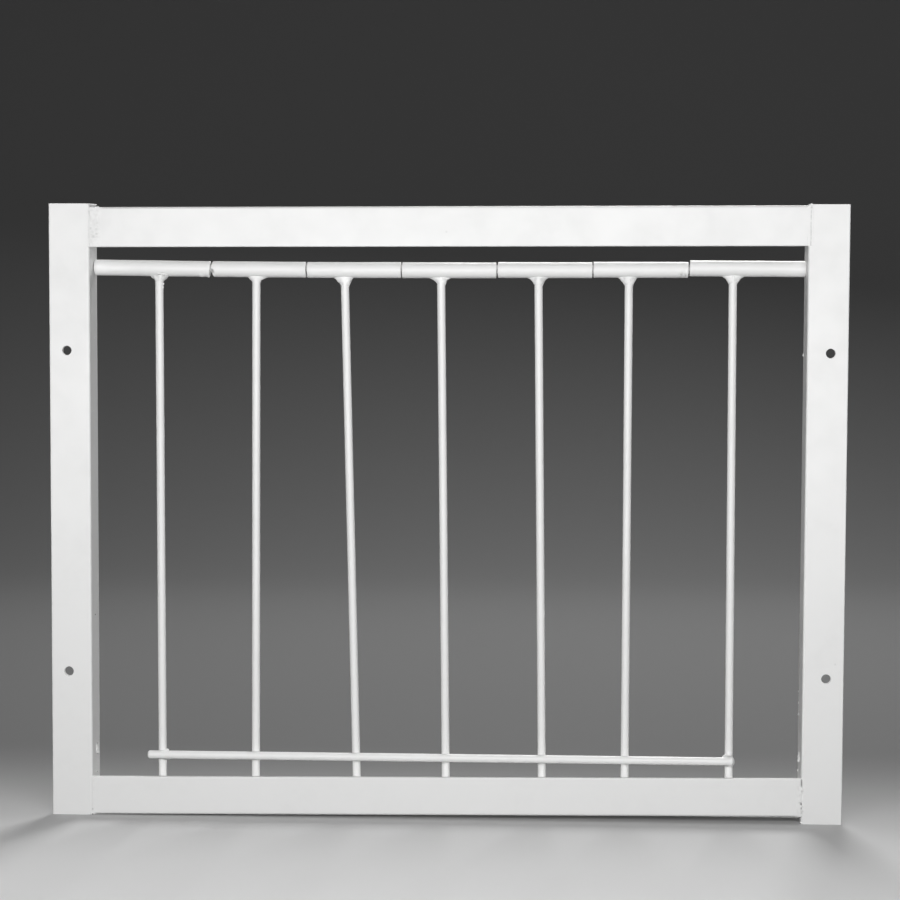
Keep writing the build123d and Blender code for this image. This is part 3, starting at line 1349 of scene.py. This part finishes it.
@dataclass(frozen=True)
class ButtSeam:
    """Weld in the groove between a rail's end and a stile's rounded heel, ground nearly flush at the front.

    Attributes:
        edge: Rail that it belongs to.
        side: Stile that it belongs to.
        line_at: Place of the fine line that is left, from the rail's end towards the rail.
        line_depth: Depth of that line.
        line_tone: How dark the painted shade in it is.
        scar: Width of the rough patch that the grinder left on the rail's end.
        scar_relief: Height of that patch.
        scar_tone: Share of painted shade in its dips.
        marks: Lumps and pits.
        fill: Height of the weld over the front face.
        heel: How far it reaches over the stile.
        overlap: How far it reaches over the rail, where no patch does.
        line_width: Half width of the fine line.
        line_mean: Usual share of the line's tone along it.
        line_change: How much that share changes.
        wander: How far the line strays.
        wander_size: Length of its bends.
        fine_size: Width of the fine lumps.
        broad_size: Width of the broad lumps.
        fine_rough: Share of the fine lumps in the patch.
        broad_rough: Share of the broad lumps in the patch.
        waviness: Height of the broad lumps on the fill.
        under: How far the weld sinks past its edges.
        fade: Length over which it sinks.
        patch_fade: Length over which the patch thins out.
        patch_start: Length over which the patch begins beside the line.
        patch_least: Strength from which the patch covers the metal.
        film: Least thickness of the patch.
        thickness: How deep the weld goes.
        inset: How far it stays within the seam's ends.
        rows: Points along the seam.
        columns: Points across it.
    """

    edge: Edge
    side: Side
    line_at: float
    line_depth: float
    line_tone: float
    scar: float
    scar_relief: float
    scar_tone: float
    marks: tuple[SeamMark, ...]
    fill: float = -0.03
    heel: float = 1.25
    overlap: float = 0.35
    line_width: float = 0.22
    line_mean: float = 0.75
    line_change: float = 0.35
    wander: float = 0.12
    wander_size: float = 4.0
    fine_size: float = 0.7
    broad_size: float = 2.0
    fine_rough: float = 0.8
    broad_rough: float = 0.6
    waviness: float = 0.02
    under: float = 0.25
    fade: float = 0.3
    patch_fade: float = 1.5
    patch_start: float = 0.5
    patch_least: float = 0.02
    film: float = 0.01
    thickness: float = 1.2
    inset: float = 0.08
    rows: int = 110
    columns: int = 72

    def build(self) -> None:
        """Build the seam: a height over the frame's front face, on a grid along and across the groove.

        Height = the fill, less a fine line, plus a bell curve for each mark and lumps in the rough patch. It
        sinks under the face past both edges, so only what stands over the metal shows.
        """
        inner_x, front_y, top, bottom = rail_end(self.edge, self.side)
        run = top - bottom
        down = np.linspace(self.inset, run - self.inset, self.rows)[:, None]
        across = np.linspace(-self.heel, max(self.scar, self.overlap) + self.fade, self.columns)[None, :]
        place = np.stack([across + 0 * down, 0 * across + 0 * down, down + 0 * across], -1)
        corner = SEED_STEP * self.edge.value + self.side.value
        fine = Lumps(self.fine_size, Seed.SEAM_FINE + corner).at(place)
        broad = Lumps(self.broad_size, Seed.SEAM_BROAD + corner).at(place)
        stray = self.wander * Lumps(self.wander_size, Seed.SEAM_WANDER + corner).at(place)
        line = bell((across - self.line_at + stray) / self.line_width)
        height = self.fill + self.waviness * broad - self.line_depth * line
        # The fine line, the pits and the dips of the rough patch are darkened: painted shade.
        dips = self.line_tone * line * held(self.line_mean + self.line_change * fine)
        for mark in self.marks:
            spot = mark.at(down, across)
            height = height + mark.height * spot
            dips = np.maximum(dips * (1 - spot), mark.tone * spot * (mark.height < 0))
        ends = held(np.minimum(down, run - down) / self.patch_fade)
        thin, begun = (self.scar - across) / self.patch_fade, (across + self.patch_start) / self.patch_start
        patch = ends * held(thin) * held(begun)
        rough = self.broad_rough * broad + self.fine_rough * fine
        film = np.maximum(self.scar_relief * (1 + rough) * patch, self.film)
        film = film + np.minimum(height - self.fill, 0)
        past_rail = held((across - self.overlap) / self.fade)
        past_heel = held((self.fade - across - self.heel) / self.fade)
        sunk = height - self.under * (past_rail + past_heel)
        proud = np.maximum(np.maximum(film, sunk), self.film * (across > 0))
        height = np.where(patch > self.patch_least, proud, sunk)
        dips = np.maximum(dips, self.scar_tone * patch * held(-rough))
        x = inner_x - self.side.value * across + 0 * down
        z = top - down + 0 * across
        face = np.stack([x, front_y - height, z], -1)
        back = np.stack([x, np.maximum(front_y - height, front_y) + self.thickness, z], -1)
        shell = slab_shell(face, back, held(dips))
        name = f"butt_seam_{self.edge.name.lower()}_{self.side.name.lower()}"
        add_piece(name, [shell], "frame", Slot.FRAME)


BUTT_SEAMS = (
    ButtSeam(
        Edge.TOP,
        Side.LEFT,
        line_at=0.05,
        line_depth=0.2,
        line_tone=0.22,
        scar=4.6,
        scar_relief=0.06,
        scar_tone=0.09,
        marks=(
            SeamMark(0.8, 1.8, 0.2, 0.9, 1.2),
            SeamMark(6.0, 0.8, -0.1, 3.0, 1.1, 0.12),
            SeamMark(8.0, 1.0, -0.2, 0.5, 0.9, 0.22),
            SeamMark(8.3, 0.7, -0.1, 2.7, 0.9, 0.16),
            SeamMark(10.0, 0.7, -0.2, 2.7, 0.9, 0.24),
            SeamMark(11.0, 1.1, -0.2, 1.5, 1.6, 0.22),
        ),
    ),
    ButtSeam(
        Edge.TOP,
        Side.RIGHT,
        line_at=-0.95,
        line_depth=0.02,
        line_tone=0.36,
        scar=0.0,
        scar_relief=0.0,
        scar_tone=0.0,
        marks=(SeamMark(0.8, 0.8, -0.02, -1.0, 0.8, 0.35),),
        fill=0.04,
        heel=2.0,
    ),
    ButtSeam(
        Edge.BOTTOM,
        Side.LEFT,
        line_at=-0.35,
        line_depth=0.16,
        line_tone=0.08,
        scar=1.2,
        scar_relief=0.03,
        scar_tone=0.05,
        marks=(SeamMark(12.6, 0.8, -0.4, -0.1, 0.7), SeamMark(14.2, 0.7, 0.25, -0.4, 1.2)),
    ),
    ButtSeam(
        Edge.BOTTOM,
        Side.RIGHT,
        line_at=-0.2,
        line_depth=0.12,
        line_tone=0.2,
        scar=1.8,
        scar_relief=0.07,
        scar_tone=0.14,
        marks=(
            SeamMark(1.6, 3.2, -0.9, -0.35, 0.8, 0.9),
            SeamMark(4.4, 1.9, 0.4, -0.35, 0.9),
            SeamMark(6.9, 1.6, -0.2, -0.6, 1.4, 0.12),
            SeamMark(8.6, 0.9, 0.4, 0.1, 0.8),
            SeamMark(9.6, 1.0, -0.9, -0.2, 0.9, 0.9),
            SeamMark(10.5, 0.6, 0.3, -0.2, 0.7),
            SeamMark(11.3, 0.8, -0.8, -0.3, 0.7, 0.7),
            SeamMark(12.3, 0.6, 0.3, -0.5, 0.7),
            SeamMark(13.1, 0.7, -0.5, -0.3, 0.6, 0.4),
        ),
    ),
)


@dataclass(frozen=True)
class SawBurr:
    """Tongue of metal that the saw left on a stile's upper end, standing out over the rail's edge.

    Attributes:
        side: Stile that it belongs to.
        length: Its length past the stile's inner edge.
        height: Half its height.
        depth: Half its depth.
        drop: How far its tip hangs.
        root: How far it is rooted in the stile.
        setback: How far it lies behind the front face.
        tip_at: Place of its thicker tip, as a share of the length.
        tip_width: Width of that tip, as a share of the length.
        tip_swell: How much thicker the tip is.
        tip_power: Power of the end's rounding, higher for a blunter end.
        tip_least: Least square of its size at the end.
        lump_size: Width of the lumps along it.
        relief: Height of those lumps, as a share of its size.
        rows: Points along it.
        sides: Points round it.
    """

    side: Side
    length: float
    height: float
    depth: float
    drop: float
    root: float = 0.8
    setback: float = 0.1
    tip_at: float = 0.9
    tip_width: float = 0.1
    tip_swell: float = 0.3
    tip_power: int = 12
    tip_least: float = 0.01
    lump_size: float = 1.0
    relief: float = 0.12
    rows: int = 40
    sides: int = 24

    def build(self) -> None:
        """Build the tongue: an ellipse of uneven size carried along X, with a thicker tip.

        Size = a root of one minus a high power of the way along, times one plus a bell curve at the tip,
        times one plus the lumps.
        """
        inner_x, front_y, _, _ = rail_end(Edge.TOP, self.side)
        end_z = node_box(f"{self.side.name.lower()}_stile")[1][2]
        along = np.linspace(-self.root, self.length, self.rows)[:, None]
        angle = turns(self.sides)[None, :]
        way = along / self.length
        end = np.sqrt(np.clip(1 - held(way) ** self.tip_power, self.tip_least, 1))
        size = end * (1 + self.tip_swell * bell((way - self.tip_at) / self.tip_width))
        ridge = np.stack([along + 0 * angle, 0 * angle + 0 * along, 0 * angle + 0 * along], -1)
        size = size * (1 + self.relief * Lumps(self.lump_size, Seed.TONGUE).at(ridge))
        x = inner_x - self.side.value * along + 0 * angle
        y = front_y + self.depth + self.setback + self.depth * size * np.cos(angle)
        z = end_z - self.height - self.drop * held(way) + self.height * size * np.sin(angle)
        name = f"saw_burr_{self.side.name.lower()}"
        add_piece(name, [ring_shell(np.stack([x, y, z], -1))], "frame", Slot.FRAME)


SAW_BURR = SawBurr(Side.LEFT, length=2.85, height=0.26, depth=0.5, drop=0.12)


@dataclass(frozen=True)
class CornerBurr:
    """A small burr at the corner of a stile's end, where the saw or the weld left it.

    Attributes:
        edge: End of the stile.
        side: The stile.
        across: Its middle, from the stile's inner edge towards the gate's middle.
        past: Its middle, past the stile's end.
        size: Its radius.
        depth: Its middle, behind the front face.
        stretch: Its half sizes along X, Y and Z, as multiples of the radius.
        lump_size: Width of the lumps on it.
        relief: Height of those lumps, as a share of the radius.
    """

    edge: Edge
    side: Side
    across: float
    past: float
    size: float
    depth: float = 0.5
    stretch: tuple[float, float, float] = (1.2, 0.9, 1.0)
    lump_size: float = 0.7
    relief: float = 0.15

    def build(self) -> None:
        """Build the burr as a lumpy ball, half sunk in the stile's corner."""
        inner_x, front_y, _, _ = rail_end(self.edge, self.side)
        end_z = node_box(f"{self.side.name.lower()}_stile")[self.edge is Edge.TOP][2]
        x, z = inner_x - self.side.value * self.across, end_z + self.edge.value * self.past
        middle = np.array([x, front_y + self.depth, z])
        lumps = Lumps(self.lump_size, Seed.CORNER_BURR + self.side.value)
        shell = blob_shell(middle, self.size * np.array(self.stretch), lumps, self.relief)
        name = f"corner_burr_{self.edge.name.lower()}_{self.side.name.lower()}"
        add_piece(name, [shell], "frame", Slot.FRAME)


CORNER_BURRS = (
    CornerBurr(Edge.TOP, Side.LEFT, 3.1, -1.35, 0.5),
    CornerBurr(Edge.TOP, Side.RIGHT, -1.0, -0.1, 0.5),
    CornerBurr(Edge.BOTTOM, Side.LEFT, -0.1, -0.2, 0.55),
    CornerBurr(Edge.BOTTOM, Side.RIGHT, -0.15, -0.35, 0.4),
)


@dataclass(frozen=True)
class HoleBurr:
    """Rim of drilled-up metal and paint round the empty hole low in a stile's back leg.

    Attributes:
        side: Stile that it belongs to.
        rise: Height of the rim over the leg, at its highest.
        shade: How dark the top of the rim is: painted shadow of the hole's upper inside.
        shade_width: Half width of that dark part, in radians.
        hole: Radius of the hole.
        width: Width of the rim.
        usual: Usual height of the rim, as a share of the highest.
        change: How much that share changes round the hole.
        high_at: Turn of the lower front from the back, in radians.
        lumpiness: Height of its lumps, as a share of the highest.
        lump_size: Width of those lumps.
        lump_ring: Radius of the ring on which they are taken.
        rows: Points round the hole.
        sides: Points round the section.
    """

    side: Side
    rise: float
    shade: float
    shade_width: float = 0.4
    hole: float = 1.6
    width: float = 0.6
    usual: float = 0.55
    change: float = 0.35
    high_at: float = 2.2
    lumpiness: float = 0.22
    lump_size: float = 1.5
    lump_ring: float = 3.0
    rows: int = 60
    sides: int = 14

    def build(self) -> None:
        """Build the burr: a round section turned about the hole, its inner half within the leg.

        Height = the rise, times its usual share plus a cosine of the turn, highest at the lower front, plus
        lumps.
        """
        inner_x = rail_end(Edge.BOTTOM, self.side)[0]
        _, depth, level = hinge_point()
        turn, angle = turns(self.rows)[:, None], turns(self.sides)[None, :]
        uneven = Lumps(self.lump_size, Seed.HOLE_BURR + self.side.value)
        lumps = self.lumpiness * uneven.at(circle(turn, self.lump_ring))[:, None]
        rise = self.rise * (self.usual + self.change * np.cos(turn + self.high_at) + lumps)
        out = self.hole + self.width * (0.5 + 0.5 * np.cos(angle))
        x = inner_x - self.side.value * rise * np.sin(angle)
        points = np.stack([x, depth + out * np.cos(turn), -level + out * np.sin(turn)], -1)
        # The top of the rim is darkened: painted shadow of the hole's upper inside.
        hole_shadow = self.shade * bell((turn - math.pi / 2) / self.shade_width) + 0 * angle
        shell = ring_shell(points, loop=True, hollow=hole_shadow)
        add_piece(f"hole_burr_{self.side.name.lower()}", [shell], "frame", Slot.FRAME)


HOLE_BURRS = (HoleBurr(Side.LEFT, rise=0.5, shade=0.7), HoleBurr(Side.RIGHT, rise=0.6, shade=0.0))


@dataclass(frozen=True)
class Spatter:
    """Drops of weld metal that froze to a stile's back leg and were painted over.

    Attributes:
        side: The stile.
        drops: Depth behind the front flange's back, height and radius of each.
        stretch: Half sizes of a drop along X, Y and Z, as multiples of the radius.
        lump_size: Width of the lumps on it.
        relief: Height of those lumps, as a share of the radius.
    """

    side: Side
    drops: tuple[tuple[float, float, float], ...]
    stretch: tuple[float, float, float] = (0.7, 1.0, 1.15)
    lump_size: float = 0.8
    relief: float = 0.12

    def build(self) -> None:
        """Build the drops: low lumpy balls, half sunk in the leg's inner face."""
        inner_x = rail_end(Edge.BOTTOM, self.side)[0]
        shells = [
            blob_shell(
                np.array([inner_x, depth, level]),
                size * np.array(self.stretch),
                Lumps(self.lump_size, Seed.SPATTER + number),
                self.relief,
            )
            for number, (depth, level, size) in enumerate(self.drops)
        ]
        add_piece(f"weld_spatter_{self.side.name.lower()}", shells, "frame", Slot.FRAME)


SPATTERS = (
    Spatter(Side.LEFT, ((2.2, 38.0, 0.35), (9.5, 66.0, 0.3), (5.0, -40.0, 0.28), (7.0, -101.0, 0.4))),
    Spatter(
        Side.RIGHT,
        ((12.2, 60.3, 0.5), (11.5, -67.6, 0.45), (11.8, -72.0, 0.4), (12.0, -76.5, 0.45), (11.0, -98.0, 0.4)),
    ),
)


@dataclass(frozen=True)
class Gate:
    """The whole gate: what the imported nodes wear, and the pieces made here."""

    def dress(self) -> None:
        """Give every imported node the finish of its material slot."""
        slots = {part["node"]: part["material_slot"] for part in frame["record"]["subparts"]}
        for node, piece in frame["nodes"].items():
            finish = bpy.data.materials[slots[node] + "_finish"]
            for place in piece.material_slots:
                place.material = finish
            LOG.info("%s wears %s", node, finish.name)

    def build(self) -> None:
        """Build every piece."""
        beads = [CornerBead(edge, side) for edge in Edge for side in Side]
        rod_beads = [RodBead(side) for side in Side]
        for piece in (*HUNG_BARS, *PUSH_WELDS, *beads, *rod_beads, SAW_BURR):
            piece.build()
        for piece in (*BUTT_SEAMS, *CORNER_BURRS, *HOLE_BURRS, *SPATTERS):
            piece.build()


# Studio


@dataclass(frozen=True)
class Lamp:
    """A soft rectangular lamp.

    Attributes:
        name: Name of the lamp.
        place: Its middle.
        aim: Point that it faces.
        size: Its width and height.
        power: Its power in watts.
    """

    name: str
    place: tuple[float, float, float]
    aim: tuple[float, float, float]
    size: tuple[float, float]
    power: float

    def build(self) -> None:
        """Build the lamp."""
        data = bpy.data.lights.new(self.name, "AREA")
        data.shape = "RECTANGLE"
        data.size, data.size_y = (side * MM for side in self.size)
        data.energy = self.power
        lamp = bpy.data.objects.new(self.name, data)
        bpy.context.scene.collection.objects.link(lamp)
        lamp.location = Vector(self.place) * MM
        lamp.rotation_euler = (Vector(self.aim) - Vector(self.place)).to_track_quat("-Z", "Y").to_euler()
        LOG.info("%s: %.1f W", self.name, self.power)


@dataclass(frozen=True)
class Studio:
    """Pale floor and backdrop in one sweep, soft lamps and the camera.

    Attributes:
        floor_grey: Colour of the floor where it is seen.
        wall_grey: Colour of the backdrop where it is seen.
        floor_bounce: Colour that both cast on the gate.
        floor_glow: Grey that the floor gains where it is seen, so that it is pale in low light.
        room_grey: Grey of the room beyond the sweep, where it is seen.
        ambient: Strength of the even light from all round.
        pale_at: Depth at which the floor is palest.
        pale_to: Distance from there up to which it keeps that grey.
        grey_from: Distance from there at which it has the backdrop's grey.
        paper_roughness: Roughness of the sweep.
        floor_front: Depth of the floor's front edge.
        bend_at: Depth at which the floor bends up.
        bend_radius: Radius of that bend.
        wall_top: Height of the backdrop over the floor.
        half_width: Half the sweep's width.
        floor_rows: Points along the floor.
        bend_rows: Points along the bend.
        columns: Points across the sweep.
        lamps: The lamps.
        image: Width and height of the picture, in pixels.
        focal: Focal length, in pixels.
        axis_row: Row of the picture that the lens axis meets.
        eye: The camera's place.
        yaw: Its turn to the left, in degrees.
        pitch: Its tilt upwards.
        roll: Its roll to the left.
        sensor: Width of its sensor.
        near_clip: Distance from which it sees.
    """

    floor_grey: float = 0.65
    wall_grey: float = 0.2
    floor_bounce: float = 0.05
    floor_glow: float = 0.04
    room_grey: float = 0.045
    ambient: float = 0.09
    pale_at: float = -130.0
    pale_to: float = 30.0
    grey_from: float = 300.0
    paper_roughness: float = 0.9
    floor_front: float = -2200.0
    bend_at: float = 900.0
    bend_radius: float = 700.0
    wall_top: float = 1800.0
    half_width: float = 2600.0
    floor_rows: int = 12
    bend_rows: int = 24
    columns: int = 9
    lamps: tuple[Lamp, ...] = (
        Lamp("near_softbox", (0, -490, 80), (0, 0, 62), (600, 260), 2.6),
        Lamp("far_softbox", (1000, -2500, 700), (0, 0, 0), (700, 600), 4.0),
        Lamp("back_softbox", (110, 800, 800), (0, 0, 40), (320, 500), 7.5),
        Lamp("right_softbox", (1300, 500, 350), (0, 0, 0), (500, 500), 1.2),
        Lamp("left_softbox", (-1300, 500, 350), (0, 0, 0), (500, 500), 0.7),
    )
    image: int = 900
    focal: float = 2470.0
    axis_row: float = 511.0
    eye: tuple[float, float, float] = (48.75, -928.69, 66.13)
    yaw: float = 2.90
    pitch: float = -4.00
    roll: float = 0.218
    sensor: float = 36.0
    near_clip: float = 10.0

    def seen(self, bench: NodeBench) -> bpy.types.NodeSocket:
        """Find whether a ray shows what it meets, straight or in a mirror, and doesn't light the gate.

        Args:
            bench: Nodes of the floor or the world.

        Returns:
            Socket with 1 where it is seen and 0 where it lights.
        """
        path = bench.add("LightPath").outputs
        mirrored = bench.math("ADD", path["Is Glossy Ray"], path["Is Transmission Ray"])
        return bench.math("ADD", path["Is Camera Ray"], mirrored)

    def build_floor(self) -> None:
        """Build the sweep: a straight floor, a quarter turn and a straight wall, carried along X."""
        floor_z = min(node_box("left_stile")[0][2], node_box("right_stile")[0][2])
        bend, radius = self.bend_at, self.bend_radius
        angle = np.linspace(0, math.pi / 2, self.bend_rows)[1:]
        level = np.linspace(self.floor_front, bend, self.floor_rows)
        y = np.concatenate([level, bend + radius * np.sin(angle), [bend + radius]])
        z = np.concatenate([0 * level, radius * (1 - np.cos(angle)), [self.wall_top]]) + floor_z
        x = np.linspace(-self.half_width, self.half_width, self.columns)
        grid = np.stack(np.broadcast_arrays(x[None, :], y[:, None], z[:, None]), -1)
        rows, columns = grid.shape[:2]
        number = np.arange(rows * columns).reshape(rows, columns)
        corners = [number[:-1, :-1], number[:-1, 1:], number[1:, 1:], number[1:, :-1]]
        quads = np.stack(corners, -1).reshape(-1, 4)
        mesh = bpy.data.meshes.new("studio_sweep")
        mesh.from_pydata((grid.reshape(-1, 3) * MM).tolist(), [], quads.tolist())
        mesh.polygons.foreach_set("use_smooth", np.ones(len(quads), bool))
        material = bpy.data.materials.new("pale_paper")
        material.use_nodes = True
        bench = NodeBench(material.node_tree)
        shader = material.node_tree.nodes["Principled BSDF"]
        seen = self.seen(bench)
        greys = (0.0, self.floor_glow, self.floor_bounce, self.floor_grey, self.wall_grey)
        black, glow, bounce, floor, wall = ((grey, grey, grey, 1) for grey in greys)
        depth = bench.add("SeparateXYZ", Vector=bench.add("TexCoord").outputs["Object"]).outputs["Y"]
        gap = bench.math("ABSOLUTE", bench.math("SUBTRACT", depth, self.pale_at * MM))
        away = bench.spread(gap, self.pale_to * MM, self.grey_from * MM, 0.0, 1.0)
        bench.feed(shader.inputs["Base Color"], bench.mix(seen, bounce, bench.mix(away, floor, wall)))
        bench.feed(shader.inputs["Emission Color"], bench.mix(seen, black, bench.mix(away, glow, black)))
        shader.inputs["Emission Strength"].default_value = 1.0
        shader.inputs["Roughness"].default_value = self.paper_roughness
        mesh.materials.append(material)
        sweep = bpy.data.objects.new("studio_sweep", mesh)
        bpy.context.scene.collection.objects.link(sweep)

    def build_light(self) -> None:
        """Build the lamps and the even light."""
        for lamp in self.lamps:
            lamp.build()
        world = bpy.data.worlds.new("studio_world")
        world.use_nodes = True
        bench = NodeBench(world.node_tree)
        even, room = ((grey, grey, grey, 1) for grey in (self.ambient, self.room_grey))
        background = world.node_tree.nodes["Background"]
        bench.feed(background.inputs["Color"], bench.mix(self.seen(bench), even, room))
        scene = bpy.context.scene
        scene.world = world
        scene.view_settings.view_transform = "Standard"

    def build_camera(self) -> None:
        """Build the camera: a turn about Z, a tilt and a roll about its own axis, and a vertical shift."""
        data = bpy.data.cameras.new("photo_camera")
        data.sensor_width = self.sensor
        data.lens = data.sensor_width * self.focal / self.image
        data.shift_y = (self.axis_row - self.image / 2) / self.image
        data.clip_start = self.near_clip * MM
        camera = bpy.data.objects.new("photo_camera", data)
        bpy.context.scene.collection.objects.link(camera)
        camera.matrix_world = (
            Matrix.Translation(Vector(self.eye) * MM)
            @ Matrix.Rotation(math.radians(self.yaw), 4, "Z")
            @ Matrix.Rotation(math.radians(90 + self.pitch), 4, "X")
            @ Matrix.Rotation(math.radians(self.roll), 4, "Z")
        )
        bpy.context.scene.camera = camera

    def build(self) -> None:
        """Build the whole studio."""
        self.build_floor()
        self.build_light()
        self.build_camera()


def main() -> None:
    """Make the finishes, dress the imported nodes, build the pieces and set up the studio."""
    logging.basicConfig(level=logging.INFO)
    film, nibs = paint_film_group(), paint_nib_group()
    for paint in PAINTS:
        paint.material(film, nibs)
    gate = Gate()
    gate.dress()
    gate.build()
    Studio().build()


if __name__ == "__main__":
    main()
